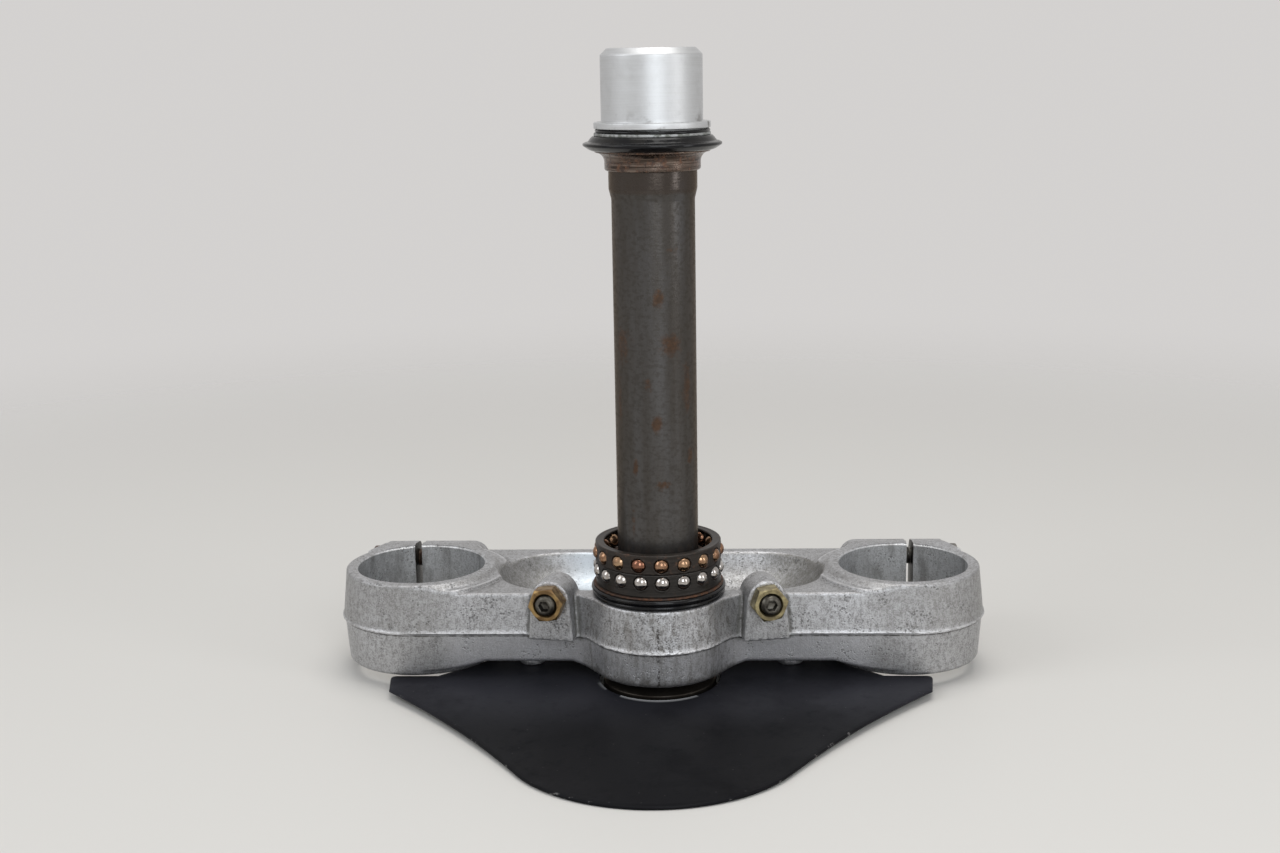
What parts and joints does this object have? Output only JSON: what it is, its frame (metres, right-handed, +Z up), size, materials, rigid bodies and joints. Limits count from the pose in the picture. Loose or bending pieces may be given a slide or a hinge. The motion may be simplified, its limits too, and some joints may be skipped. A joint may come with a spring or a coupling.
{
  "type": "motorcycle triple clamp",
  "caption": "Lower triple clamp with steering stem: cast yoke with two split fork clamps, stem with caged ball rows, adjuster nut, steering stops and a black splash plate.",
  "frame": {"origin": "on the stem axis at the lower face of the stem's foot, where it stands on the floor", "axes": "+Z up along the steering stem, +Y to the front of the motorcycle towards the line of the fork tubes, +X to the motorcycle's right as seen by its rider"},
  "size_m": [0.274, 0.1933, 0.2587],
  "materials": {
    "cast_aluminium": "sand-cast, weathered",
    "stem_steel": "dark oxidised with rust spots",
    "black_rubber": "glossy, greasy",
    "rusty_washer": "rusty",
    "cone_steel": "worn with rust",
    "cage_steel": "dark and greasy",
    "bright_balls": "polished",
    "rusty_balls": "polished with a rust film",
    "turned_aluminium": "turned",
    "screw_steel": "dark",
    "yellow_zinc": "yellow zinc plated",
    "bolt_steel": "plated, partly rusty",
    "black_plate": "satin black"
  },
  "bodies": {
    "root": {"lower_yoke": "cast_aluminium", "steering_stem": "stem_steel", "lower_dust_seal": "black_rubber", "upper_dust_seal": "black_rubber", "nut_o_ring": "black_rubber", "lower_seal_washer": "rusty_washer", "lower_bearing_cone": "cone_steel", "upper_bearing_cone": "cone_steel", "lower_ball_cage": "cage_steel", "upper_ball_cage": "cage_steel", "lower_balls": "bright_balls", "upper_balls": "rusty_balls", "adjuster_nut": "turned_aluminium", "left_stop_screw": "screw_steel", "right_stop_screw": "screw_steel", "left_plate_screw": "screw_steel", "right_plate_screw": "screw_steel", "left_lock_nut": "yellow_zinc", "right_lock_nut": "yellow_zinc", "left_upper_pinch_bolt": "bolt_steel", "left_lower_pinch_bolt": "bolt_steel", "right_upper_pinch_bolt": "bolt_steel", "right_lower_pinch_bolt": "bolt_steel", "splash_plate": "black_plate"}
  },
  "joints": []
}
